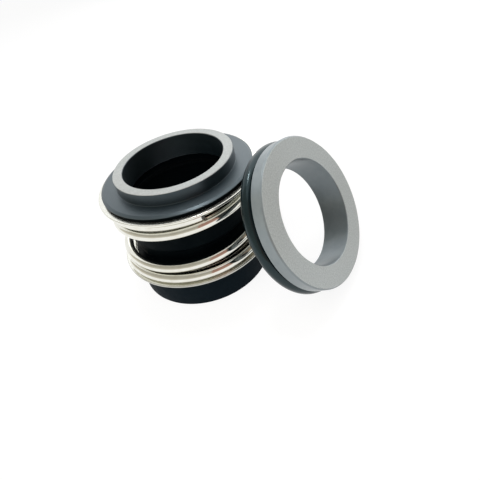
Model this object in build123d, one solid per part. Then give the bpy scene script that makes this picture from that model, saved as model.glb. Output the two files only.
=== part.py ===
from build123d import *
import os
from math import acos, atan2, cos, degrees, hypot, radians, sin, sqrt, tan

# A rubber-bellows shaft seal, as a set: the rotating head stands on its tail with the sealing face up,
# and the stationary seat leans on the head's upper ring with its O-ring on the surface.
# Millimetres, +Z up. The origin is on the shaft axis in the plane of the tail's end.
# The sizes build outwards from the shaft's radius and inwards from the free height.

# Shaft and the grip and clearances round it
shaft_radius = 14.0
bore_grip = 0.1
face_clearance = 0.75
seat_clearance = 0.8

# Small gaps where pieces nest, press or lean on each other
nest_gap = 0.05
contact_gap = 0.05
lean_gap = 0.15

# Head, from the tail's end to the sealing face with the spring at its free length
free_height = 38.5
tail_height = 10.85

# Rotating face ring
nose_width = 2.85
nose_height = 3.5
nose_root_radius = 0.15
brim_width = 5.15
brim_thickness = 0.55
brim_chamfer_width = 0.8
brim_chamfer_height = 0.35
spigot_wall = 2.45
spigot_length = 3.25
face_edge = 0.2

# Pressed drive rings
sheet_thickness = 0.65
sheet_edge = 0.2
bend_radius = 0.85
head_flange_overhang = 1.25
head_skirt_length = 4.1
tail_flange_overhang = 0.45
tail_skirt_length = 2.75

# Rubber bellows
cup_wall = 1.55
cup_thickness = 0.85
cup_inset = 0.15
cup_ledge_inset = 0.55
tail_wall = 7.4
tail_edge = 0.6
grip_length = 12.5
bellows_wall = 2.0
groove_depth = 1.25
groove_length = 3.8
groove_slope_length = 2.4
fold_slope_length = 1.1
fold_setback = 1.3
rubber_corner = 0.5

# Coil spring: right-handed, wound wider towards the tail
wire_diameter = 2.8
coil_turns = 3.25
coil_start_azimuth = -63.0
coil_widening = 1.2
head_skirt_gap = 0.15
tail_skirt_gap = 0.5
turn_gap = 0.08
shear_angle = 35.0
coil_points_per_turn = 12
# The turns from the top end where each stretch of the winding begins and ends
head_closing = (0.0, 0.75)
open_winding = (0.9, 2.23)
tail_closing = (2.18, 3.02)
widening = (1.66, 3.13)

# Stationary seat
seat_flange_thickness = 3.47
seat_flange_step = 3.2
seat_neck_wall = 3.3
seat_neck_root_radius = 0.3
seat_face_chamfer = 0.4
seat_back_chamfer = 0.2
seat_bore_chamfer = 0.25

# O-ring on the seat's neck
o_ring_wire_radius = 1.85
o_ring_setback = 0.61
o_ring_gap = 0.02
neck_past_o_ring = 0.85

# Where the seat leans: the direction it faces, seen from above, and how far it stands to one side
seat_azimuth = -27.81
seat_sideways = 5.19

# Radii that follow, from the shaft outwards
wire_radius = wire_diameter / 2
face_bore_radius = shaft_radius + face_clearance
nose_radius = face_bore_radius + nose_width
spigot_radius = face_bore_radius + spigot_wall
brim_radius = spigot_radius + brim_width
head_neck_radius = spigot_radius + nest_gap + cup_wall
head_skirt_inner = head_neck_radius + nest_gap
head_skirt_outer = head_skirt_inner + sheet_thickness
coil_top_radius = head_skirt_outer + head_skirt_gap + wire_radius
coil_bottom_radius = coil_top_radius + coil_widening
tail_skirt_outer = coil_bottom_radius - wire_radius - tail_skirt_gap
tail_skirt_inner = tail_skirt_outer - sheet_thickness
tail_neck_radius = tail_skirt_inner - nest_gap
head_flange_radius = coil_top_radius + wire_radius + head_flange_overhang
tail_flange_radius = coil_bottom_radius + wire_radius + tail_flange_overhang

# Heights that follow, from the sealing face down and from the tail up
shoulder_height = free_height - nose_height
cup_top = shoulder_height - brim_thickness
cup_floor = cup_top - spigot_length
head_flange_top = cup_top - cup_thickness
head_flange_bottom = head_flange_top - sheet_thickness
head_skirt_bottom = head_flange_top - head_skirt_length
tail_flange_top = tail_height + sheet_thickness
tail_skirt_top = tail_height + tail_skirt_length
coil_top_height = head_flange_bottom - contact_gap - wire_radius
coil_bottom_height = tail_flange_top + contact_gap + wire_radius

# Seat sizes that follow, with depths behind its sealing face
seat_bore_radius = shaft_radius + seat_clearance
seat_neck_radius = seat_bore_radius + seat_neck_wall
seat_flange_radius = seat_neck_radius + seat_flange_step
o_ring_radius = seat_neck_radius + o_ring_gap + o_ring_wire_radius
o_ring_depth = seat_flange_thickness + o_ring_setback + o_ring_wire_radius
seat_thickness = o_ring_depth + o_ring_wire_radius + neck_past_o_ring


def turned(corners):
    """Return the ring whose section has the given corners: (radius, height, rounding), 0 for sharp."""
    points = [(radius, height) for radius, height, rounding in corners]
    roundings = [rounding for radius, height, rounding in corners]
    section = make_face(FilletPolyline(*points, radius=roundings, close=True))
    return revolve(Plane.XZ * section, Axis.Z)


def face_ring():
    """Rotating sealing face: a raised nose, a thin brim over the rubber cup and a spigot inside it."""
    return turned(
        [
            (face_bore_radius, cup_floor + face_edge, 0),
            (face_bore_radius + face_edge, cup_floor, 0),
            (spigot_radius - face_edge, cup_floor, 0),
            (spigot_radius, cup_floor + face_edge, 0),
            (spigot_radius, cup_top, 0),
            (brim_radius, cup_top, 0),
            (brim_radius, shoulder_height - brim_chamfer_height, 0),
            (brim_radius - brim_chamfer_width, shoulder_height, 0),
            (nose_radius, shoulder_height, nose_root_radius),
            (nose_radius, free_height - face_edge, 0),
            (nose_radius - face_edge, free_height, 0),
            (face_bore_radius + face_edge, free_height, 0),
            (face_bore_radius, free_height - face_edge, 0),
        ]
    )


def head_drive_ring():
    """Pressed ring behind the face: a flange that the spring pushes and a skirt round the rubber."""
    return turned(
        [
            (head_skirt_inner, head_skirt_bottom, sheet_edge),
            (head_skirt_outer, head_skirt_bottom, sheet_edge),
            (head_skirt_outer, head_flange_bottom, bend_radius - sheet_thickness),
            (head_flange_radius, head_flange_bottom, sheet_edge),
            (head_flange_radius, head_flange_top, sheet_edge),
            (head_skirt_inner, head_flange_top, bend_radius),
        ]
    )


def tail_drive_ring():
    """Pressed ring on the tail: a flange under the spring and a skirt up round the rubber neck."""
    return turned(
        [
            (tail_skirt_inner, tail_height, bend_radius),
            (tail_flange_radius, tail_height, sheet_edge),
            (tail_flange_radius, tail_flange_top, sheet_edge),
            (tail_skirt_outer, tail_flange_top, bend_radius - sheet_thickness),
            (tail_skirt_outer, tail_skirt_top, sheet_edge),
            (tail_skirt_inner, tail_skirt_top, sheet_edge),
        ]
    )


def rubber_bellows():
    """One moulding: a tail sleeve that grips the shaft, a neck, a fold and the cup of the face ring."""
    bore = shaft_radius - bore_grip
    cup_bore = spigot_radius + nest_gap
    ledge_radius = face_bore_radius + cup_ledge_inset
    ledge_bottom = cup_floor - bellows_wall
    groove_radius = tail_neck_radius - groove_depth
    groove_bottom = tail_skirt_top + groove_slope_length
    groove_top = groove_bottom + groove_length
    fold_radius = head_skirt_outer
    fold_bottom = groove_top + fold_slope_length
    fold_top = head_skirt_bottom - fold_setback
    return turned(
        [
            (bore, 0, 0),
            (bore + tail_wall, 0, tail_edge),
            (bore + tail_wall, tail_height, 0),
            (tail_neck_radius, tail_height, rubber_corner),
            (tail_neck_radius, tail_skirt_top, rubber_corner),
            (groove_radius, groove_bottom, rubber_corner),
            (groove_radius, groove_top, rubber_corner),
            (fold_radius, fold_bottom, rubber_corner),
            (fold_radius, fold_top, rubber_corner),
            (head_neck_radius, fold_top + rubber_corner, 0),
            (head_neck_radius, head_flange_top, rubber_corner),
            (brim_radius - cup_inset, head_flange_top, 0),
            (brim_radius - cup_inset, cup_top, 0),
            (cup_bore, cup_top, 0),
            (cup_bore, cup_floor, 0),
            (ledge_radius, cup_floor, 0),
            (ledge_radius, ledge_bottom, rubber_corner),
            (fold_radius - bellows_wall, ledge_bottom - bellows_wall, bellows_wall),
            (fold_radius - bellows_wall, groove_top, rubber_corner),
            (groove_radius - bellows_wall, groove_bottom, rubber_corner),
            (bore, grip_length, bellows_wall),
        ]
    )


def ease(turns, stretch):
    """Return how much of a stretch of the winding is done at this turn, as a smooth step from 0 to 1."""
    start, stop = stretch
    share = min(max((turns - start) / (stop - start), 0), 1)
    return 3 * share**2 - 2 * share**3


def coil_point(turns):
    """Return the point of the wire's centre line that lies this many turns below the top end.

    The wire comes down by its own thickness to pass under its top end, winds openly to the other end,
    and closes so that its last turn just fits under the one above it.
    """
    closing_left = 1 - ease(coil_turns - 1, tail_closing)
    head_drop = wire_diameter
    tail_drop = (wire_diameter + turn_gap) / closing_left
    open_drop = coil_top_height - coil_bottom_height - head_drop - tail_drop
    height = coil_top_height - head_drop * ease(turns, head_closing)
    height -= open_drop * ease(turns, open_winding)
    height -= tail_drop * ease(turns, tail_closing)
    radius = coil_top_radius + coil_widening * ease(turns, widening)
    azimuth = radians(coil_start_azimuth - 360 * turns)
    return Vector(radius * cos(azimuth), radius * sin(azimuth), height)


def shear(end, away):
    """Return the block that a slanting cut takes off a wire's end, given the end and the way out of it."""
    outward = Vector(end.X, end.Y, 0).normalized()
    normal = away * cos(radians(shear_angle)) + outward * sin(radians(shear_angle))
    origin = end - away * (wire_radius * tan(radians(shear_angle)) + contact_gap)
    block = Pos(0, 0, wire_radius) * Box(wire_diameter + nest_gap / 2, 1.3 * wire_diameter, wire_diameter)
    return Plane(origin=origin, x_dir=normal.cross(outward), z_dir=normal) * block


def coil_spring():
    """Round wire wound between the two flanges, sheared off aslant at both ends."""
    steps = round(coil_turns * coil_points_per_turn)
    path = Spline(*[coil_point(coil_turns * step / steps) for step in range(steps + 1)])
    section = Plane(origin=path @ 0, z_dir=path % 0) * Circle(wire_radius)
    wire = sweep(section, path=path, is_frenet=True)
    return wire - shear(path @ 0, path % 0 * -1) - shear(path @ 1, path % 1)


def seat_ring():
    """Stationary seat on its own axis: sealing face at height 0, flange, then the O-ring's neck."""
    return turned(
        [
            (seat_bore_radius + seat_bore_chamfer, 0, 0),
            (seat_flange_radius - seat_face_chamfer, 0, 0),
            (seat_flange_radius, -seat_face_chamfer, 0),
            (seat_flange_radius, -seat_flange_thickness, 0),
            (seat_neck_radius, -seat_flange_thickness, seat_neck_root_radius),
            (seat_neck_radius, seat_back_chamfer - seat_thickness, 0),
            (seat_neck_radius - seat_back_chamfer, -seat_thickness, 0),
            (seat_bore_radius + seat_bore_chamfer, -seat_thickness, 0),
            (seat_bore_radius, seat_bore_chamfer - seat_thickness, 0),
            (seat_bore_radius, -seat_bore_chamfer, 0),
        ]
    )


def seat_o_ring():
    """O-ring round the seat's neck, on the seat's own axis."""
    section = Pos(o_ring_radius, -o_ring_depth) * Circle(o_ring_wire_radius)
    return revolve(Plane.XZ * section, Axis.Z)


def seat_plane():
    """Return the plane of the leaning seat's face.

    The O-ring's lowest point lies on the surface, and the back edge of the neck rests on the rim of the
    head's flange. The tilt is the angle at which that edge stands at the rim's height.
    """
    edge_rise = sqrt(seat_neck_radius**2 - seat_sideways**2)
    edge_depth = seat_thickness - o_ring_depth
    reach = o_ring_radius + edge_rise
    rim_rise = head_flange_top + lean_gap - o_ring_wire_radius
    tilt = acos(rim_rise / hypot(reach, edge_depth)) - atan2(edge_depth, reach)
    height = o_ring_depth * sin(tilt) + o_ring_radius * cos(tilt) + o_ring_wire_radius
    away = head_flange_radius + lean_gap + seat_thickness * cos(tilt) + edge_rise * sin(tilt)
    print("seat tilt", round(degrees(tilt), 3), "away", round(away, 3), "height", round(height, 3))
    turn = Rot(0, 0, seat_azimuth)
    centre = (turn * Pos(away, seat_sideways, height)).position
    face_direction = (turn * Pos(cos(tilt), 0, sin(tilt))).position
    upward = (turn * Pos(-sin(tilt), 0, cos(tilt))).position
    return Plane(origin=centre, x_dir=upward, z_dir=face_direction)


def build_all():
    """Write every piece to its own STEP file."""
    os.makedirs("parts", exist_ok=True)
    seat_place = seat_plane()
    export_step(face_ring(), "parts/face_ring.step")
    export_step(rubber_bellows(), "parts/rubber_bellows.step")
    export_step(head_drive_ring(), "parts/head_drive_ring.step")
    export_step(tail_drive_ring(), "parts/tail_drive_ring.step")
    export_step(coil_spring(), "parts/coil_spring.step")
    export_step(seat_place * seat_ring(), "parts/seat_ring.step")
    export_step(seat_place * seat_o_ring(), "parts/seat_o_ring.step")


build_all()
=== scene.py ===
"""Looks of a component shaft seal: the rotating head on its tail and the stationary ring leaning on it.

Sizes are millimetres until a mesh is written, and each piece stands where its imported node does. Every
piece is a section turned about its own axis or, for the spring, a round section carried along a winding.
"""

import logging
from dataclasses import dataclass
from enum import Enum
from math import radians

import bpy
import numpy as np
from mathutils import Matrix, Vector


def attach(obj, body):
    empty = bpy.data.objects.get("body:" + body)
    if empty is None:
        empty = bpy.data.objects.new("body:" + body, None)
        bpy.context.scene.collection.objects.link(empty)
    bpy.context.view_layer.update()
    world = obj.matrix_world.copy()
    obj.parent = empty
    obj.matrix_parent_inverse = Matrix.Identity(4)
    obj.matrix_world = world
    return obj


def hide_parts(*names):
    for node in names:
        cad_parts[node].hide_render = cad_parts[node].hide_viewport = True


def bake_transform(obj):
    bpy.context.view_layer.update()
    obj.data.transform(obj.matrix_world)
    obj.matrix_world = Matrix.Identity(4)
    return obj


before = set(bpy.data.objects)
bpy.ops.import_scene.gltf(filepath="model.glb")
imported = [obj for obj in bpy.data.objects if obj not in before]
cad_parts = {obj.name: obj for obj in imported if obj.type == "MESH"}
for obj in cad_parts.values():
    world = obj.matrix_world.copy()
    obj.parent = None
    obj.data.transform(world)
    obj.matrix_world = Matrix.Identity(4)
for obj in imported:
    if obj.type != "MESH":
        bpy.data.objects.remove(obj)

LOG = logging.getLogger("shaft_seal")
METRES = 0.001  # metres in a millimetre
SEGMENTS = 256  # steps round a turned piece
EDGE_BREAK = 0.05  # least rounding of a corner
SUPPORT = 0.05  # how far inside a straight run its two extra points stand
SUPPORT_SHARE = 0.3  # and the most that this may be of the run
ARC_STEPS = 8  # points on a rounded corner
NOISE_RANGE = (0.3, 0.7)  # where most of a noise's values lie
PLACE = "own_place"
WRAP = "wrap"

Array = np.ndarray
Colour = tuple[float, float, float]
Socket = bpy.types.NodeSocket
Row = tuple[float, float, float]
Span = tuple[float, float]


class Body(str, Enum):
    """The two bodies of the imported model."""

    TAIL = "tail"
    HEAD = "head"


class Slot(str, Enum):
    """The record's material slots."""

    CARBIDE_LIGHT = "carbide_light"
    CARBIDE_GREY = "carbide_grey"
    RUBBER = "rubber"
    O_RING_RUBBER = "o_ring_rubber"
    STAINLESS = "stainless"
    SPRING_WIRE = "spring_wire"


# Node graphs and finishes


class Graph:
    """A material's node tree, with short calls for the nodes that the finishes use."""

    def __init__(self, tree: bpy.types.NodeTree) -> None:
        """Empty the tree and keep it.

        Args:
            tree: the tree of a material or a world.
        """
        tree.nodes.clear()
        self.tree = tree

    def node(self, kind: str, inputs: dict[str, object] | None = None, **settings: object) -> bpy.types.Node:
        """Add a node.

        Args:
            kind: the node's type without its ShaderNode prefix.
            inputs: values or sockets for the named inputs.
            settings: the node's own properties.

        Returns:
            The new node.
        """
        made = self.tree.nodes.new("ShaderNode" + kind)
        for name, value in settings.items():
            setattr(made, name, value)
        for name, value in (inputs or {}).items():
            socket = made.inputs[int(name)] if name.isdigit() else made.inputs[name]
            if isinstance(value, bpy.types.NodeSocket):
                self.tree.links.new(value, socket)
            else:
                socket.default_value = value
        return made

    def place(self) -> Socket:
        """Return the piece's own coordinates, in millimetres, on its own axis."""
        return self.node("Attribute", attribute_name=PLACE).outputs["Vector"]

    def math(self, operation: str, *values: object) -> Socket:
        """Return the result of a Math node.

        Args:
            operation: the node's operation.
            values: its inputs in order, numbers or sockets.

        Returns:
            The result's socket.
        """
        inputs = {str(index): value for index, value in enumerate(values)}
        return self.node("Math", inputs, operation=operation).outputs[0]

    def noise(self, vector: Socket, scale: float, detail: float = 4.0, roughness: float = 0.55) -> Socket:
        """Return a noise between 0 and 1.

        Args:
            vector: where it is read.
            scale: features for each millimetre.
            detail: how many finer octaves it has.
            roughness: how strong the finer octaves are.

        Returns:
            The noise's factor.
        """
        inputs = {"Vector": vector, "Scale": scale, "Detail": detail, "Roughness": roughness}
        return self.node("TexNoise", inputs).outputs["Fac"]

    def ramp(self, value: Socket, low: float, high: float,
             to_low: float = 0.0, to_high: float = 1.0) -> Socket:
        """Return a value carried from one range to another and held inside it.

        Args:
            value: what is carried.
            low: the value that becomes to_low.
            high: the value that becomes to_high.
            to_low: the result at and below low.
            to_high: the result at and above high.

        Returns:
            The result's socket.
        """
        inputs = {"Value": value, "From Min": low, "From Max": high, "To Min": to_low, "To Max": to_high}
        return self.node("MapRange", inputs).outputs["Result"]

    def spread(self, noise: Socket, middle: float, half: float) -> Socket:
        """Return a noise carried to a number and as far to both sides of it.

        Args:
            noise: the noise.
            middle: the number.
            half: how far the result goes to each side.

        Returns:
            The result's socket.
        """
        return self.ramp(noise, *NOISE_RANGE, middle - half, middle + half)

    def shade(self, colour: Socket, amount: Socket) -> Socket:
        """Return a colour made darker.

        Args:
            colour: the colour.
            amount: what it is multiplied by.

        Returns:
            The result's socket.
        """
        return self.node("VectorMath", {"0": colour, "3": amount}, operation="SCALE").outputs[0]

    def height(self, place: Socket) -> Socket:
        """Return the height along the axis of the given coordinates."""
        return self.node("SeparateXYZ", {"Vector": place}).outputs[2]

    def mix(self, factor: Socket, first: object, second: object) -> Socket:
        """Return one colour passing into another.

        Args:
            factor: 0 for the first and 1 for the second.
            first: a colour or a socket.
            second: a colour or a socket.

        Returns:
            The mixed colour's socket.
        """
        made = self.node("Mix", {"Factor": factor}, data_type="RGBA")
        for socket, value in ((made.inputs[6], first), (made.inputs[7], second)):
            if isinstance(value, bpy.types.NodeSocket):
                self.tree.links.new(value, socket)
            else:
                socket.default_value = (*value, 1.0)
        return made.outputs[2]

    def bump(self, height: Socket, depth: float, normal: Socket | None = None) -> Socket:
        """Return a normal that follows a height.

        Args:
            height: the height, 0 to 1.
            depth: what a height of 1 stands for, in millimetres.
            normal: a normal that it adds to.

        Returns:
            The normal's socket.
        """
        made = self.node("Bump", {"Height": height, "Strength": 1.0, "Distance": depth * METRES})
        if normal is not None:
            self.tree.links.new(normal, made.inputs["Normal"])
        return made.outputs["Normal"]

    def seen(self) -> Socket:
        """Return 1 for what the camera sees, also in a reflection or through glass."""
        path = self.node("LightPath").outputs
        direct = self.math("MAXIMUM", path["Is Camera Ray"], path["Is Glossy Ray"])
        return self.math("MAXIMUM", direct, path["Is Transmission Ray"])

    def rings(self, place: Socket, scale: float) -> Socket:
        """Return a noise that runs in rings round the piece's axis, as turning and pressing leave it.

        Args:
            place: the piece's own coordinates.
            scale: lines for each millimetre across.

        Returns:
            The noise's factor.
        """
        across = self.node("CombineXYZ", {"X": self.radius(place), "Z": self.height(place)}).outputs[0]
        return self.noise(across, scale, roughness=0.6)

    def radius(self, place: Socket) -> Socket:
        """Return the distance from the piece's axis.

        Args:
            place: the piece's own coordinates.

        Returns:
            The distance's socket, in millimetres.
        """
        level = (1.0, 1.0, 0.0)
        flat = self.node("VectorMath", {"0": place, "1": level}, operation="MULTIPLY").outputs[0]
        return self.node("VectorMath", {"0": flat}, operation="LENGTH").outputs["Value"]


@dataclass(frozen=True)
class Finish:
    """A finish, made into one material."""

    name: str

    def material(self) -> bpy.types.Material:
        """Return the material of this finish."""
        made = bpy.data.materials.get(self.name) or bpy.data.materials.new(self.name)
        made.use_nodes = True
        graph = Graph(made.node_tree)
        shader = self.shader(graph)
        graph.node("OutputMaterial", {"Surface": shader})
        return made

    def shader(self, graph: Graph) -> Socket:
        """Return the surface shader.

        Args:
            graph: the material's empty tree.

        Returns:
            The shader's socket.
        """
        raise NotImplementedError


@dataclass(frozen=True)
class Carbide(Finish):
    """Sintered carbide: ground all over, with a lapped face that is paler and evenly matt.

    The bore's colour can be multiplied by a painted shade, which makes the bore darker as shade would.
    """

    ground: Colour
    ground_patch: Colour
    lapped: Colour
    lapped_patch: Colour
    lapped_above: float
    roughness: float = 0.36
    anisotropy: float = 0.6
    ior: float = 1.95
    tint: Colour = (0.74, 0.91, 1.0)
    line_depth: float = 0.0014
    line_gloss: float = 0.06
    bore: float = 0.0
    # Painted shade: the bore's colour is multiplied by this, so the bore is darker as shade would make it.
    bore_shade: float = 1.0
    bore_blend: Span = (0.06, 0.16)
    face_blend: float = 0.04
    face_dullness: float = 0.16
    cloud_scale: float = 0.45
    cloud_span: Span = (0.35, 0.68)
    grain_scale: float = 2.4
    grain_roughness: float = 0.75
    grain_depth: float = 0.006
    speck_span: Span = (0.4, 0.62)
    line_scale: float = 6.0
    quarter_turn: float = 0.25

    def shader(self, graph: Graph) -> Socket:
        """Return ground and lapped carbide, told apart by height on the piece's own axis.

        Args:
            graph: the material's empty tree.

        Returns:
            The shader's socket.
        """
        place = graph.place()
        face = graph.ramp(graph.height(place), self.lapped_above - self.face_blend, self.lapped_above)
        cloud = graph.ramp(graph.noise(place, self.cloud_scale), *self.cloud_span)
        grain = graph.noise(place, self.grain_scale, roughness=self.grain_roughness)
        ground = graph.mix(cloud, self.ground, self.ground_patch)
        lapped = graph.mix(graph.ramp(grain, *self.speck_span), self.lapped, self.lapped_patch)
        start, stop = self.bore_blend
        # Painted shade: inside the bore the colour is multiplied by the painted bore shade.
        painted_bore_shade_factor = graph.ramp(graph.radius(place), self.bore + start, self.bore + stop, self.bore_shade, 1.0)
        colour = graph.mix(face, graph.shade(ground, painted_bore_shade_factor), lapped)
        lines = graph.math("MULTIPLY", graph.rings(place, self.line_scale), graph.math("SUBTRACT", 1.0, face))
        rough = graph.spread(lines, self.roughness, self.line_gloss)
        rough = graph.math("ADD", rough, graph.math("MULTIPLY", face, self.face_dullness))
        normal = graph.bump(lines, self.line_depth, graph.bump(grain, self.grain_depth))
        tangent = graph.node("Tangent", direction_type="UV_MAP", uv_map=WRAP).outputs[0]
        inputs = {"Base Color": colour, "Roughness": rough, "Normal": normal, "Tangent": tangent,
                  "Anisotropic": self.anisotropy, "Anisotropic Rotation": self.quarter_turn,
                  "IOR": self.ior, "Specular Tint": (*self.tint, 1.0)}
        return graph.node("BsdfPrincipled", inputs).outputs[0]


@dataclass(frozen=True)
class Rubber(Finish):
    """Black moulded rubber: nearly even, with a faint bloom, fine grain and a few grains of dust.

    Below a height of its own it has another, lighter colour, so the rubber above that height is painted in
    shade and the sleeve below it in light.
    """

    base: Colour
    bloom: Colour
    dust: Colour
    roughness: float = 0.55
    specular: float = 0.12
    tint: Colour = (0.6, 0.92, 1.0)
    grain_depth: float = 0.004
    # Painted light and shade: the sleeve below this height is lighter than the rubber above it, which stands
    # in for the shade among the spring's turns.
    handled: Colour = (0.0, 0.0, 0.0)
    handled_below: float = -100.0
    handled_blend: float = 1.0
    cloud_scale: float = 0.16
    cloud_span: Span = (0.42, 0.72)
    grain_scale: float = 5.0
    grain_detail: float = 3.0
    dust_scale: float = 0.55
    dust_span: Span = (0.05, 0.035)
    patch_scale: float = 0.5
    patch_detail: float = 5.0
    patch_gloss: float = 0.07

    def shader(self, graph: Graph) -> Socket:
        """Return moulded rubber.

        Args:
            graph: the material's empty tree.

        Returns:
            The shader's socket.
        """
        place = graph.place()
        cloud = graph.ramp(graph.noise(place, self.cloud_scale), *self.cloud_span)
        grain = graph.noise(place, self.grain_scale, self.grain_detail)
        grains = {"Vector": place, "Scale": self.dust_scale, "Randomness": 1.0}
        dusty = graph.ramp(graph.node("TexVoronoi", grains).outputs["Distance"], *self.dust_span)
        # Painted shade: above this height the rubber is darker than the sleeve below it.
        above = graph.ramp(graph.height(place), self.handled_below - self.handled_blend, self.handled_below)
        skin = graph.mix(above, self.handled, graph.mix(cloud, self.base, self.bloom))
        colour = graph.mix(dusty, skin, self.dust)
        patches = graph.noise(place, self.patch_scale, self.patch_detail)
        inputs = {"Base Color": colour, "Roughness": graph.spread(patches, self.roughness, self.patch_gloss),
                  "Normal": graph.bump(grain, self.grain_depth),
                  "Specular IOR Level": self.specular, "Specular Tint": (*self.tint, 1.0)}
        return graph.node("BsdfPrincipled", inputs).outputs[0]


@dataclass(frozen=True)
class PressedSteel(Finish):
    """Stainless sheet, pressed and polished, with faint rings from the tool.

    The rim's colour can be multiplied by a painted shade, which makes the rim darker as shade would.
    """

    base: Colour
    tarnish: Colour
    rim: float
    roughness: float = 0.13
    flat_roughness: float = 0.26
    # Painted shade: the rim's colour is multiplied by this.
    rim_shade: float = 1.0
    rim_shade_from: Span = (0.15, 0.05)
    rim_polish_from: Span = (0.3, 0.15)
    smear_scale: float = 0.35
    smear_span: Span = (0.4, 0.75)
    line_scale: float = 4.5
    line_gloss: float = 0.03
    line_depth: float = 0.0015

    def shader(self, graph: Graph) -> Socket:
        """Return pressed stainless sheet, polished at its rim and duller inside it.

        Args:
            graph: the material's empty tree.

        Returns:
            The shader's socket.
        """
        place = graph.place()
        radius = graph.radius(place)
        lines = graph.rings(place, self.line_scale)
        smear = graph.ramp(graph.noise(place, self.smear_scale), *self.smear_span)
        # Painted shade: the colour darkens towards the rim.
        painted_shade_start, painted_shade_stop = self.rim_shade_from
        edge = graph.ramp(radius, self.rim - painted_shade_start, self.rim - painted_shade_stop, 1.0, self.rim_shade)
        colour = graph.shade(graph.mix(smear, self.base, self.tarnish), edge)
        polish_start, polish_stop = self.rim_polish_from
        flat = graph.ramp(radius, self.rim - polish_start, self.rim - polish_stop, 1.0, 0.0)
        finish = graph.ramp(flat, 0.0, 1.0, self.roughness, self.flat_roughness)
        rough = graph.math("ADD", finish, graph.spread(lines, 0.0, self.line_gloss))
        normal = graph.bump(graph.math("MULTIPLY", lines, flat), self.line_depth)
        inputs = {"Base Color": colour, "Roughness": rough, "Metallic": 1.0, "Normal": normal}
        return graph.node("BsdfPrincipled", inputs).outputs[0]


@dataclass(frozen=True)
class SpringWire(Finish):
    """Drawn stainless wire: lines along it, a little tarnish, and sheared ends."""

    base: Colour
    tarnish: Colour
    cut: Colour
    roughness: float = 0.1
    gloss: Span = (-0.04, 0.05)
    cut_dullness: float = 0.35
    cut_span: Span = (0.02, 0.0)
    smear_scale: float = 0.4
    smear_span: Span = (0.42, 0.75)
    line_stretch: float = 0.05
    line_scale: float = 5.0
    line_roughness: float = 0.6
    line_depth: float = 0.0015

    def shader(self, graph: Graph) -> Socket:
        """Return drawn wire, read along and round the wire from its own map.

        Args:
            graph: the material's empty tree.

        Returns:
            The shader's socket.
        """
        place = graph.place()
        wrap = graph.node("UVMap", uv_map=WRAP).outputs[0]
        along, around = graph.node("SeparateXYZ", {"Vector": wrap}).outputs[:2]
        stretched = {"X": graph.math("MULTIPLY", along, self.line_stretch), "Y": around}
        drawn_at = graph.node("CombineXYZ", stretched).outputs[0]
        drawn = graph.noise(drawn_at, self.line_scale, roughness=self.line_roughness)
        smear = graph.ramp(graph.noise(place, self.smear_scale), *self.smear_span)
        sheared = graph.ramp(along, *self.cut_span)
        colour = graph.mix(sheared, graph.mix(smear, self.base, self.tarnish), self.cut)
        low, high = self.gloss
        lines = graph.ramp(drawn, *NOISE_RANGE, self.roughness + low, self.roughness + high)
        rough = graph.math("ADD", lines, graph.math("MULTIPLY", sheared, self.cut_dullness))
        inputs = {"Base Color": colour, "Roughness": rough, "Metallic": 1.0,
                  "Normal": graph.bump(drawn, self.line_depth)}
        return graph.node("BsdfPrincipled", inputs).outputs[0]


@dataclass(frozen=True)
class Floor(Finish):
    """The stage's plain pale floor: matt, and shown white with a faint shadow."""

    colour: Colour = (0.9, 0.9, 0.9)
    shown: float = 0.89
    shown_colour: Colour = (0.16, 0.16, 0.16)

    def shader(self, graph: Graph) -> Socket:
        """Return the floor, which lights the seal as matt paint and shows itself and its reflection as white.

        Args:
            graph: the material's empty tree.

        Returns:
            The shader's socket.
        """
        paint = graph.node("BsdfDiffuse", {"Color": (*self.colour, 1.0)}).outputs[0]
        shade = graph.node("BsdfDiffuse", {"Color": (*self.shown_colour, 1.0)}).outputs[0]
        glow = graph.node("Emission", {"Strength": self.shown}).outputs[0]
        white = graph.node("AddShader", {"0": shade, "1": glow}).outputs[0]
        return graph.node("MixShader", {"0": graph.seen(), "1": paint, "2": white}).outputs[0]


@dataclass(frozen=True)
class Screen(Finish):
    """A softly lit studio screen, which fades from its foot to its top."""

    colour: Colour
    foot_level: float
    top_level: float
    fade: Span = (0.05, 0.35)

    def shader(self, graph: Graph) -> Socket:
        """Return the screen's light, which fades with the height above the floor.

        Args:
            graph: the material's empty tree.

        Returns:
            The shader's socket.
        """
        height = graph.height(graph.node("TexCoord").outputs["Object"])
        level = graph.ramp(height, *self.fade, self.foot_level, self.top_level)
        return graph.node("Emission", {"Color": (*self.colour, 1.0), "Strength": level}).outputs[0]


LAPPED_CARBIDE = Carbide(
    "lapped_carbide", ground=(0.003, 0.007, 0.010), ground_patch=(0.007, 0.013, 0.017),
    lapped=(0.38, 0.39, 0.375), lapped_patch=(0.49, 0.50, 0.48), lapped_above=38.42)
# The grey carbide's bore is painted darker: painted shade.
GREY_CARBIDE = Carbide(
    "grey_carbide", ground=(0.18, 0.21, 0.225), ground_patch=(0.22, 0.25, 0.26),
    lapped=(0.425, 0.47, 0.467), lapped_patch=(0.585, 0.63, 0.628), lapped_above=-0.04,
    roughness=0.3, ior=2.1, tint=(0.8, 0.93, 1.0), line_depth=0.0005, line_gloss=0.02,
    bore=14.8, bore_shade=0.55)
# The bellows is painted darker above its sleeve: painted shade.
BELLOWS_RUBBER = Rubber(
    "bellows_rubber", base=(0.0008, 0.002, 0.003), bloom=(0.002, 0.004, 0.005), dust=(0.03, 0.035, 0.035),
    specular=0.04, handled=(0.004, 0.009, 0.014), handled_below=12.0)
RING_RUBBER = Rubber(
    "ring_rubber", base=(0.003, 0.009, 0.011), bloom=(0.007, 0.015, 0.017), dust=(0.06, 0.065, 0.065),
    roughness=0.17, specular=0.5, tint=(0.7, 0.93, 1.0), grain_depth=0.0015)
HEAD_STEEL = PressedSteel(
    "head_pressed_steel", base=(0.84, 0.845, 0.785), tarnish=(0.77, 0.765, 0.70), rim=23.7)
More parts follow.
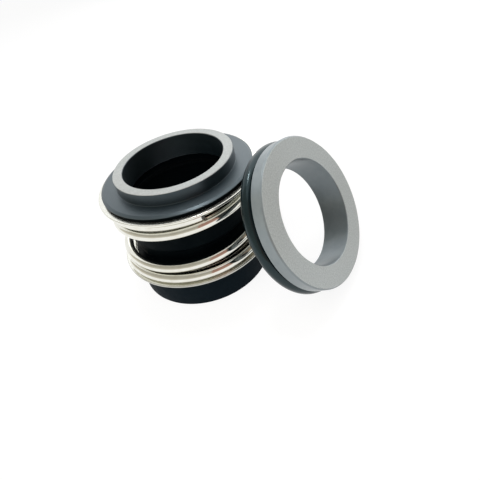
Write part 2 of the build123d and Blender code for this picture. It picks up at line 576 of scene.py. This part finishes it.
# The tail ring's rim is painted darker: painted shade.
TAIL_STEEL = PressedSteel(
    "tail_pressed_steel", base=(0.84, 0.845, 0.785), tarnish=(0.77, 0.765, 0.70), rim=24.1, rim_shade=0.65)
DRAWN_WIRE = SpringWire(
    "drawn_wire", base=(0.82, 0.82, 0.76), tarnish=(0.76, 0.745, 0.67), cut=(0.45, 0.44, 0.42))


# Surfaces


def unit(vectors: Array) -> Array:
    """Return the vectors at length 1."""
    return vectors / np.linalg.norm(vectors, axis=-1, keepdims=True)


def ease(turns: Array, stretch: Span) -> Array:
    """Return a smooth step, 3s squared less 2s cubed, where s goes from 0 to 1 over the stretch."""
    share = np.clip((turns - stretch[0]) / (stretch[1] - stretch[0]), 0.0, 1.0)
    return 3 * share**2 - 2 * share**3


def rounded_outline(rows: list[Row]) -> Array:
    """Return a section's closed outline with its corners rounded.

    A corner whose sides stand at an angle A is cut back along both by its rounding over tan(A/2), and an
    arc about a centre on the bisector, rounding over sin(A/2) from the corner, joins the cuts. Two points
    stand on each straight run a little inside its ends, so that a flat face also shades flat.

    Args:
        rows: radius, height and rounding of each corner.

    Returns:
        Rows of radius and height, anticlockwise.
    """
    corners = np.array(rows, float)
    points, rounding = corners[:, :2], np.maximum(corners[:, 2], EDGE_BREAK)
    after = np.roll(points, -1, axis=0)
    if np.sum(points[:, 0] * after[:, 1] - points[:, 1] * after[:, 0]) < 0:
        points, rounding = points[::-1], rounding[::-1]
    back = unit(np.roll(points, 1, axis=0) - points)
    ahead = unit(np.roll(points, -1, axis=0) - points)
    half = np.arccos(np.sum(back * ahead, axis=1)) / 2
    cut = (rounding / np.tan(half))[:, None]
    first, last = points + back * cut, points + ahead * cut
    centre = points + unit(back + ahead) * (rounding / np.sin(half))[:, None]
    sweep, share = (np.pi - 2 * half)[:, None], np.linspace(0.0, 1.0, ARC_STEPS)[None]
    leave, reach = np.sin((1 - share) * sweep)[..., None], np.sin(share * sweep)[..., None]
    arc = centre[:, None] + (leave * (first - centre)[:, None] + reach * (last - centre)[:, None]) / np.sin(
        sweep)[..., None]
    run = np.roll(first, -1, axis=0) - last
    inset = run * np.minimum(SUPPORT / np.linalg.norm(run, axis=1), SUPPORT_SHARE)[:, None]
    ends = np.stack([last + inset, last + run - inset], axis=1)
    return np.concatenate([arc, ends], axis=1).reshape(-1, 2)


def wrapped_quads(around: int, along: int) -> tuple[Array, Array, Array]:
    """Return the quads of a grid that closes on itself both ways.

    Args:
        around: how many columns it has.
        along: how many points each column has.

    Returns:
        The quads' vertex indices, and each corner's column and point before they close.
    """
    column, point = np.meshgrid(np.arange(around), np.arange(along), indexing="ij")
    columns = np.stack([column, column + 1, column + 1, column], axis=-1).reshape(-1, 4)
    points = np.stack([point, point, point + 1, point + 1], axis=-1).reshape(-1, 4)
    return (columns % around) * along + points % along, columns, points


def make_piece(name: str, places: Array, faces: list[list[int]], own: Array, wrap: Array) -> bpy.types.Object:
    """Return a smooth mesh object at the origin.

    Args:
        name: the piece's name.
        places: the vertices in millimetres, in the frame.
        faces: vertex indices of each face.
        own: the vertices in millimetres, on the piece's own axis, kept as an attribute.
        wrap: each face corner's place along and across the surface in millimetres.

    Returns:
        The new object.
    """
    mesh = bpy.data.meshes.new(name)
    mesh.from_pydata((places * METRES).tolist(), [], faces)
    mesh.uv_layers.new(name=WRAP).data.foreach_set("uv", wrap.astype(np.float32).ravel())
    kept = mesh.attributes.new(PLACE, "FLOAT_VECTOR", "POINT")
    kept.data.foreach_set("vector", own.astype(np.float32).ravel())
    mesh.shade_smooth()
    mesh.validate()
    piece = bpy.data.objects.new(name, mesh)
    bpy.context.scene.collection.objects.link(piece)
    return piece


def turned_piece(name: str, outline: Array, place: Matrix | None = None) -> bpy.types.Object:
    """Return a section turned about an axis.

    A vertex at outline point (r, h) and angle A stands at (r cos A, r sin A, h), then goes to its place.

    Args:
        name: the piece's name.
        outline: rows of radius and height, anticlockwise.
        place: where the axis stands, or nothing for the shaft's own axis.

    Returns:
        The new object.
    """
    angle = np.arange(SEGMENTS)[:, None] * (2 * np.pi / SEGMENTS)
    radius, height = outline[None, :, 0], outline[None, :, 1]
    own = np.stack([radius * np.cos(angle), radius * np.sin(angle), height + 0 * angle], axis=-1)
    own = own.reshape(-1, 3)
    turn = np.array(place or Matrix.Identity(4))
    quads, columns, points = wrapped_quads(SEGMENTS, len(outline))
    steps = np.linalg.norm(np.roll(outline, -1, axis=0) - outline, axis=1)
    across = np.concatenate([[0.0], np.cumsum(steps)])
    arc = 2 * np.pi * outline[:, 0].mean() / SEGMENTS
    wrap = np.stack([columns * arc, across[points]], axis=-1)
    return make_piece(name, own @ turn[:3, :3].T + turn[:3, 3], quads.tolist(), own, wrap)


def dress(piece: bpy.types.Object, finish: Finish, node: str) -> bpy.types.Object:
    """Give a piece its finish, and let it stand for its node.

    Args:
        piece: the new piece.
        finish: what it is made of.
        node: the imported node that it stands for.

    Returns:
        The same piece.
    """
    piece.data.materials.append(finish.material())
    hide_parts(node)
    LOG.info("%s: %d faces, finish %s", piece.name, len(piece.data.polygons), finish.name)
    return piece


def blend_by_weight(piece: bpy.types.Object, weight: Array) -> None:
    """Set each vertex at a height given by its weight, apply the piece's transform, and put them back.

    The height is 0.5 - sin(asin(1 - 2 weight) / 3), at which 3h squared less 2h cubed equals the weight.

    Args:
        piece: the piece, with no parent.
        weight: each vertex's weight, from 0 to 1.
    """
    places = np.empty(len(weight) * 3, np.float32)
    piece.data.vertices.foreach_get("co", places)
    heights = np.zeros((len(weight), 3), np.float32)
    heights[:, 2] = 0.5 - np.sin(np.arcsin(1 - 2 * np.clip(weight, 0.0, 1.0)) / 3)
    piece.data.vertices.foreach_set("co", heights.ravel())
    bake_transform(piece)
    piece.data.vertices.foreach_set("co", places)
    piece.data.update()


# The rotating head


@dataclass(frozen=True)
class FaceRing:
    """The rotating sealing face: a raised nose, a thin brim over the rubber cup and a spigot inside it."""

    bore: float = 14.75
    nose: float = 17.6
    brim: float = 22.35
    spigot: float = 17.2
    top: float = 38.5
    shoulder: float = 35.0
    brim_bottom: float = 34.45
    bottom: float = 31.2
    face_edge: float = 0.2
    brim_chamfer: Span = (0.8, 0.35)
    nose_root: float = 0.15

    def build(self) -> None:
        """Build the ring and dress it."""
        edge, (inward, down) = self.face_edge, self.brim_chamfer
        rows = [
            (self.bore, self.bottom + edge, 0), (self.bore + edge, self.bottom, 0),
            (self.spigot - edge, self.bottom, 0), (self.spigot, self.bottom + edge, 0),
            (self.spigot, self.brim_bottom, 0), (self.brim, self.brim_bottom, 0),
            (self.brim, self.shoulder - down, 0), (self.brim - inward, self.shoulder, 0),
            (self.nose, self.shoulder, self.nose_root), (self.nose, self.top - edge, 0),
            (self.nose - edge, self.top, 0), (self.bore + edge, self.top, 0), (self.bore, self.top - edge, 0),
        ]
        piece = turned_piece("carbide_face_ring", rounded_outline(rows))
        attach(dress(piece, LAPPED_CARBIDE, "face_ring"), Body.HEAD.value)


@dataclass(frozen=True)
class DriveRing:
    """A ring pressed from sheet: a flange that takes the spring and a skirt round the rubber."""

    node: str
    body: Body
    finish: PressedSteel
    skirt_inner: float
    flange: float
    back: float
    facing: int
    skirt_length: float
    sheet: float = 0.65
    sheet_edge: float = 0.2
    bend: float = 0.85

    def build(self) -> None:
        """Build the ring from its back face towards the spring, on the facing side, and dress it."""
        skirt_outer = self.skirt_inner + self.sheet
        spring_face = self.back + self.facing * self.sheet
        skirt_end = self.back + self.facing * self.skirt_length
        rows = [
            (self.skirt_inner, self.back, self.bend), (self.flange, self.back, self.sheet_edge),
            (self.flange, spring_face, self.sheet_edge), (skirt_outer, spring_face, self.bend - self.sheet),
            (skirt_outer, skirt_end, self.sheet_edge), (self.skirt_inner, skirt_end, self.sheet_edge),
        ]
        piece = turned_piece("pressed_" + self.node, rounded_outline(rows))
        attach(dress(piece, self.finish, self.node), self.body.value)


@dataclass(frozen=True)
class RubberBellows:
    """One moulding: a tail sleeve that grips the shaft, a neck, a fold, and the cup of the face ring."""

    bore: float = 13.9
    tail: float = 21.3
    tail_top: float = 10.85
    neck: float = 19.65
    neck_top: float = 13.6
    groove: float = 18.4
    groove_bottom: float = 16.0
    groove_top: float = 19.8
    fold: float = 19.5
    fold_bottom: float = 20.9
    fold_top: float = 28.2
    head_neck: float = 18.8
    cup_bottom: float = 33.6
    cup: float = 22.2
    cup_top: float = 34.45
    cup_bore: float = 17.25
    cup_floor: float = 31.2
    ledge: float = 15.3
    ledge_bottom: float = 29.2
    wall: float = 2.0
    grip: float = 12.5
    tail_edge: float = 0.6
    corner: float = 0.5

    def outline(self) -> Array:
        """Return the moulding's section."""
        inside = self.fold - self.wall
        return rounded_outline([
            (self.bore, 0, 0), (self.tail, 0, self.tail_edge), (self.tail, self.tail_top, 0),
            (self.neck, self.tail_top, self.corner), (self.neck, self.neck_top, self.corner),
            (self.groove, self.groove_bottom, self.corner), (self.groove, self.groove_top, self.corner),
            (self.fold, self.fold_bottom, self.corner), (self.fold, self.fold_top, self.corner),
            (self.head_neck, self.fold_top + self.corner, 0), (self.head_neck, self.cup_bottom, self.corner),
            (self.cup, self.cup_bottom, 0), (self.cup, self.cup_top, 0), (self.cup_bore, self.cup_top, 0),
            (self.cup_bore, self.cup_floor, 0), (self.ledge, self.cup_floor, 0),
            (self.ledge, self.ledge_bottom, self.corner), (inside, self.ledge_bottom - self.wall, self.wall),
            (inside, self.groove_top, self.corner),
            (self.groove - self.wall, self.groove_bottom, self.corner),
            (self.bore, self.grip, self.wall),
        ])

    def build(self) -> None:
        """Build the moulding, dress it, and weight its vertices by height between the groove and the fold's
        top.
        """
        outline = self.outline()
        piece = turned_piece("moulded_bellows", outline)
        dress(piece, BELLOWS_RUBBER, "rubber_bellows")
        height = np.tile(outline[:, 1], SEGMENTS)
        blend_by_weight(piece, (height - self.groove_bottom) / (self.fold_top - self.groove_bottom))


@dataclass(frozen=True)
class CoilSpring:
    """Round wire between the drive rings, wider towards the tail, closed at both ends and sheared off."""

    wire: float = 1.4
    turns: float = 3.25
    start_azimuth: float = -63.0
    top_radius: float = 21.05
    growth: float = 1.2
    top: float = 31.5
    bottom: float = 12.95
    turn_gap: float = 0.08
    head_closing: Span = (0.0, 0.75)
    open_winding: Span = (0.9, 2.23)
    tail_closing: Span = (2.18, 3.02)
    widening: Span = (1.66, 3.13)
    shear: float = 35.0
    shear_setback: float = 0.05
    shear_reach: float = 3.5
    cut_edge: float = 0.07
    cut_rings: Row = (0.33, 0.66, 0.9)
    cut_edge_steps: int = 4
    first_ring: float = 0.15
    tangent_step: float = 1e-4
    steps_per_turn: int = 200
    sides: int = 40

    def centre_line(self, turns: Array) -> Array:
        """Return the wire's centre line.

        The height comes down by the wire's thickness under the top end, by the open winding, and by what
        closes the last turn; each is a smooth step over its own turns. The radius grows towards the tail in
        one more such step, and the azimuth goes back by a whole turn for each turn.

        Args:
            turns: how far down the wire each point lies, in turns.

        Returns:
            A row of x, y and z for each.
        """
        tail_drop = (2 * self.wire + self.turn_gap) / (1 - ease(np.array(self.turns - 1), self.tail_closing))
        open_drop = self.top - self.bottom - 2 * self.wire - tail_drop
        height = self.top - 2 * self.wire * ease(turns, self.head_closing)
        height = height - open_drop * ease(turns, self.open_winding)
        height = height - tail_drop * ease(turns, self.tail_closing)
        radius = self.top_radius + self.growth * ease(turns, self.widening)
        azimuth = np.radians(self.start_azimuth) - 2 * np.pi * turns
        return np.stack([radius * np.cos(azimuth), radius * np.sin(azimuth), height], axis=-1)

    def surface(self, turns: Array, radius: Array, angle: Array) -> Array:
        """Return points of the wire's surface.

        A point stands on the centre line plus its radius times (cos B, sin B) in the plane across the wire,
        whose first direction points away from the shaft and whose second stands across it and the wire.

        Args:
            turns: how far down the wire each point lies, in turns.
            radius: its distance from the centre line.
            angle: its angle B round the wire.

        Returns:
            A row of x, y and z for each.
        """
        line = self.centre_line(turns)
        step = self.tangent_step
        along = unit(self.centre_line(turns + step) - self.centre_line(turns - step))
        outward = line * [1.0, 1.0, 0.0]
        outward = unit(outward - along * np.sum(outward * along, axis=-1, keepdims=True))
        upward = np.cross(along, outward)
        cosine, sine = np.cos(angle)[..., None], np.sin(angle)[..., None]
        return line + radius[..., None] * (outward * cosine + upward * sine)

    def rings(self) -> tuple[Array, Array]:
        """Return how far each ring of points lies along the wire from its top end, and its radius.

        Rings at the same place and a growing radius make each cut's flat, and rings on a quarter circle
        round its edge.
        """
        length = 2 * np.pi * self.top_radius * self.turns
        quarter = np.linspace(0.0, np.pi / 2, self.cut_edge_steps)
        flat = self.wire * np.array(self.cut_rings)
        start = np.concatenate([0 * flat, self.cut_edge * (1 - np.cos(quarter))])
        start_radius = np.concatenate([flat, self.wire - self.cut_edge * (1 - np.sin(quarter))])
        steps = round(self.turns * self.steps_per_turn)
        inner = np.linspace(self.first_ring, length - self.first_ring, steps)
        along = np.concatenate([start, inner, length - start[::-1]])
        return along, np.concatenate([start_radius, np.full(len(inner), self.wire), start_radius[::-1]])

    def build(self) -> None:
        """Build the wire, dress it, and weight its vertices by how far along the open winding they lie.

        A cut slants outwards: a point of the end ring at angle B and radius q draws back along the wire by
        (wire radius + q cos B) tan(shear), and the rings behind it by less and less, to none at the reach.
        """
        along, radius = self.rings()
        angle = np.arange(self.sides) * (2 * np.pi / self.sides) + np.pi
        along, radius = np.broadcast_arrays(along[:, None], radius[:, None], angle[None])[:2]
        angle = np.broadcast_to(angle[None], along.shape)
        back = along[-1, 0] - along
        setback = (self.wire + radius * np.cos(angle)) * np.tan(np.radians(self.shear)) + self.shear_setback
        start_share = np.clip(1 - along / self.shear_reach, 0, 1)
        drawn = setback * (start_share - np.clip(1 - back / self.shear_reach, 0, 1))
        turns = (along + drawn) / (2 * np.pi * self.top_radius)
        rings = self.surface(turns, radius, angle)
        places = np.concatenate([rings[:1].mean(axis=1), rings.reshape(-1, 3), rings[-1:].mean(axis=1)])
        rows = len(rings)
        row, side = np.meshgrid(np.arange(rows - 1), np.arange(self.sides), indexing="ij")
        at = np.stack([row, row + 1, row + 1, row], axis=-1).reshape(-1, 4)
        by = np.stack([side, side, side + 1, side + 1], axis=-1).reshape(-1, 4)
        quads = 1 + at * self.sides + by % self.sides
        fan = np.arange(self.sides)
        start_fan = np.stack([0 * fan, 1 + fan, 1 + (fan + 1) % self.sides], axis=1)
        base = 1 + (rows - 1) * self.sides
        stop_fan = np.stack([0 * fan + len(places) - 1, base + (fan + 1) % self.sides, base + fan], axis=1)
        from_end = np.minimum(along, back)[:, 0]
        turn_step = 2 * np.pi * self.wire / self.sides
        wrap = np.concatenate([
            np.stack([from_end[at], by * turn_step], axis=-1).reshape(-1, 2),
            np.stack([0.0 * start_fan, start_fan * turn_step], axis=-1).reshape(-1, 2),
            np.stack([0.0 * stop_fan, (stop_fan - base) * turn_step], axis=-1).reshape(-1, 2),
        ])
        faces = quads.tolist() + start_fan.tolist() + stop_fan.tolist()
        piece = make_piece("wound_spring", places, faces, places, wrap)
        dress(piece, DRAWN_WIRE, "coil_spring")
        weight = 1 - ease(along[:, 0] / (2 * np.pi * self.top_radius), self.open_winding)
        blend_by_weight(piece, np.concatenate([[1.0], np.repeat(weight, self.sides), [0.0]]))


# The stationary ring and its O-ring


@dataclass(frozen=True)
class LeaningAxis:
    """Where the stationary ring leans: the centre of its face, how far that faces up, and which way."""

    centre: Row = (37.342, -13.829, 22.312)
    face_rise: float = 27.347
    azimuth: float = -27.81

    def place(self) -> Matrix:
        """Return the turn and move from the ring's own axis, whose +Z comes out of its face."""
        tip = Matrix.Rotation(radians(90 - self.face_rise), 4, "Y")
        turn = Matrix.Rotation(radians(self.azimuth), 4, "Z") @ tip
        return Matrix.Translation(Vector(self.centre)) @ turn


@dataclass(frozen=True)
class StationaryRing:
    """The stationary ring: a flange with the sealing face, then the O-ring's neck."""

    axis: LeaningAxis
    bore: float = 14.8
    neck: float = 18.1
    flange: float = 21.3
    flange_thickness: float = 3.47
    thickness: float = 8.63
    neck_root: float = 0.3
    face_chamfer: float = 0.4
    back_chamfer: float = 0.2
    bore_chamfer: float = 0.25

    def build(self) -> None:
        """Build the ring and dress it."""
        mouth = self.bore + self.bore_chamfer
        rows = [
            (mouth, 0, 0), (self.flange - self.face_chamfer, 0, 0), (self.flange, -self.face_chamfer, 0),
            (self.flange, -self.flange_thickness, 0), (self.neck, -self.flange_thickness, self.neck_root),
            (self.neck, self.back_chamfer - self.thickness, 0),
            (self.neck - self.back_chamfer, -self.thickness, 0),
            (mouth, -self.thickness, 0), (self.bore, self.bore_chamfer - self.thickness, 0),
            (self.bore, -self.bore_chamfer, 0),
        ]
        piece = turned_piece("carbide_stationary_ring", rounded_outline(rows), self.axis.place())
        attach(dress(piece, GREY_CARBIDE, "seat_ring"), Body.TAIL.value)


@dataclass(frozen=True)
class NeckORing:
    """The O-ring round the stationary ring's neck."""

    axis: LeaningAxis
    radius: float = 19.97
    depth: float = 5.93
    wire: float = 1.85
    sides: int = 48

    def build(self) -> None:
        """Build the ring, whose section is a circle about its radius and depth, and dress it."""
        angle = np.arange(self.sides) * (2 * np.pi / self.sides) + np.pi
        across, along = self.wire * np.cos(angle), self.wire * np.sin(angle)
        outline = np.stack([self.radius + across, along - self.depth], axis=1)
        piece = turned_piece("rubber_o_ring", outline, self.axis.place())
        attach(dress(piece, RING_RUBBER, "seat_o_ring"), Body.TAIL.value)


# Stage


@dataclass(frozen=True)
class Studio:
    """A pale floor, an even sky, three lamps, and screens round the front that the steel shows.

    A broad lamp stands behind the seal, a small one nearly overhead, and a broad one in front, which fills
    the matt faces and is kept out of reflections.
    """

    floor_half: float = 3.0
    floor_drop: float = 0.00003
    sky_level: float = 0.42
    screen_distance: float = 0.6
    screen_steps: int = 25
    aim: Row = (0.015, -0.005, 0.02)

    def build(self) -> None:
        """Build the floor, the sky, the lamps and the screens."""
        half, drop = self.floor_half, -self.floor_drop
        corners = [(-half, -half, drop), (half, -half, drop), (half, half, drop), (-half, half, drop)]
        self.panel("floor", corners, [[0, 1, 2, 3]], Floor("pale_floor"))
        self.sky()
        self.lamp("back_lamp", at=(0.10, 0.42, 0.38), size=0.7, watts=1.25)
        fill = self.lamp("fill_lamp", at=(-0.09, -0.23, 0.45), size=0.5, watts=1.15)
        fill.visible_glossy = False
        self.lamp("spot_lamp", at=(0.0, 0.10, 0.50), size=0.07, watts=0.36)
        tan = Screen("tan_screen", (1.0, 0.95, 0.82), foot_level=0.72, top_level=0.42)
        salmon = Screen("salmon_screen", (1.0, 0.6, 0.48), foot_level=0.5, top_level=0.36)
        dark = Screen("dark_screen", (0.8, 0.9, 1.0), foot_level=0.03, top_level=0.03)
        brown = Screen("brown_screen", (1.0, 0.84, 0.66), foot_level=0.4, top_level=0.2)
        self.screen("left_screen", azimuths=(-200.0, -76.0), rises=(3.0, 75.0), finish=tan)
        self.screen("front_screen", azimuths=(-76.0, -43.0), rises=(3.0, 70.0), finish=salmon)
        self.screen("dark_screen", azimuths=(-43.0, -17.0), rises=(0.0, 70.0), finish=dark)
        self.screen("side_screen", azimuths=(-17.0, 25.0), rises=(3.0, 60.0), finish=brown)

    def panel(self, name: str, places: list[Row], faces: list[list[int]], finish: Finish) -> bpy.types.Object:
        """Add one panel to the stage.

        Args:
            name: the panel's name.
            places: its vertices, in metres.
            faces: vertex indices of each face.
            finish: what it is made of.

        Returns:
            The panel.
        """
        mesh = bpy.data.meshes.new(name)
        mesh.from_pydata(places, [], faces)
        mesh.materials.append(finish.material())
        panel = bpy.data.objects.new(name, mesh)
        bpy.context.scene.collection.objects.link(panel)
        return panel

    def screen(self, name: str, azimuths: Span, rises: Span, finish: Finish) -> None:
        """Stand a curved screen round the seal, for its light and reflection only.

        A point at azimuth A and rise E stands at the distance times (cos E cos A, cos E sin A, sin E) from
        the middle of the seal.

        Args:
            name: the screen's name.
            azimuths: where it begins and ends, in degrees from +X.
            rises: how high its foot and its top stand, in degrees.
            finish: what it is made of.
        """
        turn, rise = np.meshgrid(np.radians(np.linspace(*azimuths, self.screen_steps)),
                                 np.radians(np.linspace(*rises, self.screen_steps)), indexing="ij")
        way = np.stack([np.cos(rise) * np.cos(turn), np.cos(rise) * np.sin(turn), np.sin(rise)], axis=-1)
        corner = np.arange(self.screen_steps**2).reshape(self.screen_steps, self.screen_steps)
        quads = np.stack([corner[:-1, :-1], corner[1:, :-1], corner[1:, 1:], corner[:-1, 1:]], axis=-1)
        places = self.aim + self.screen_distance * way.reshape(-1, 3)
        self.panel(name, places.tolist(), quads.reshape(-1, 4).tolist(), finish).visible_camera = False

    def sky(self) -> None:
        """Light the seal evenly from all round, and show a white sky."""
        world = bpy.data.worlds.new("soft_sky")
        bpy.context.scene.world = world
        world.use_nodes = True
        graph = Graph(world.node_tree)
        white = (1.0, 1.0, 1.0, 1.0)
        light = graph.node("Background", {"Color": white, "Strength": self.sky_level}).outputs[0]
        shown = graph.node("Background", {"Color": white, "Strength": 1.0}).outputs[0]
        shader = graph.node("MixShader", {"0": graph.seen(), "1": light, "2": shown}).outputs[0]
        graph.node("OutputWorld", {"Surface": shader})

    def lamp(self, name: str, at: Row, size: float, watts: float) -> bpy.types.Object:
        """Add a square soft lamp that points at the middle of the seal.

        Args:
            name: the lamp's name.
            at: where it stands, in metres.
            size: its side, in metres.
            watts: its power.

        Returns:
            The lamp.
        """
        data = bpy.data.lights.new(name, "AREA")
        data.size, data.energy = size, watts
        made = bpy.data.objects.new(name, data)
        made.location = at
        made.rotation_euler = (Vector(self.aim) - Vector(at)).to_track_quat("-Z", "Y").to_euler()
        bpy.context.scene.collection.objects.link(made)
        return made


@dataclass(frozen=True)
class Viewpoint:
    """The camera: close above the seal, looking down on it, and turned a little about its own axis."""

    place: Row = (0.030724, -0.102226, 0.091124)
    right: Row = (0.97846, 0.0, -0.20644)
    up: Row = (0.15629, 0.65335, 0.74075)
    lens: float = 30.57
    sensor: float = 36.0
    clip: Span = (0.005, 20.0)

    def build(self) -> None:
        """Set up the scene's camera."""
        data = bpy.data.cameras.new("viewpoint")
        data.lens, data.sensor_width = self.lens, self.sensor
        data.clip_start, data.clip_end = self.clip
        camera = bpy.data.objects.new("viewpoint", data)
        right, up = Vector(self.right).normalized(), Vector(self.up).normalized()
        turn = Matrix((right, up, right.cross(up))).transposed().to_4x4()
        camera.matrix_world = Matrix.Translation(Vector(self.place)) @ turn
        bpy.context.scene.collection.objects.link(camera)
        bpy.context.scene.camera = camera


def main() -> None:
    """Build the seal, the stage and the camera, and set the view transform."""
    logging.basicConfig(level=logging.INFO, format="%(name)s: %(message)s")
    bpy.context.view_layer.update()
    Viewpoint().build()
    FaceRing().build()
    DriveRing("head_drive_ring", Body.HEAD, HEAD_STEEL, skirt_inner=18.85, flange=23.7, back=33.6,
              facing=-1, skirt_length=4.1).build()
    DriveRing("tail_drive_ring", Body.TAIL, TAIL_STEEL, skirt_inner=19.7, flange=24.1, back=10.85,
              facing=1, skirt_length=2.75).build()
    RubberBellows().build()
    CoilSpring().build()
    axis = LeaningAxis()
    StationaryRing(axis).build()
    NeckORing(axis).build()
    Studio().build()
    scene = bpy.context.scene
    scene.view_settings.view_transform = "Standard"


if __name__ == "__main__":
    main()
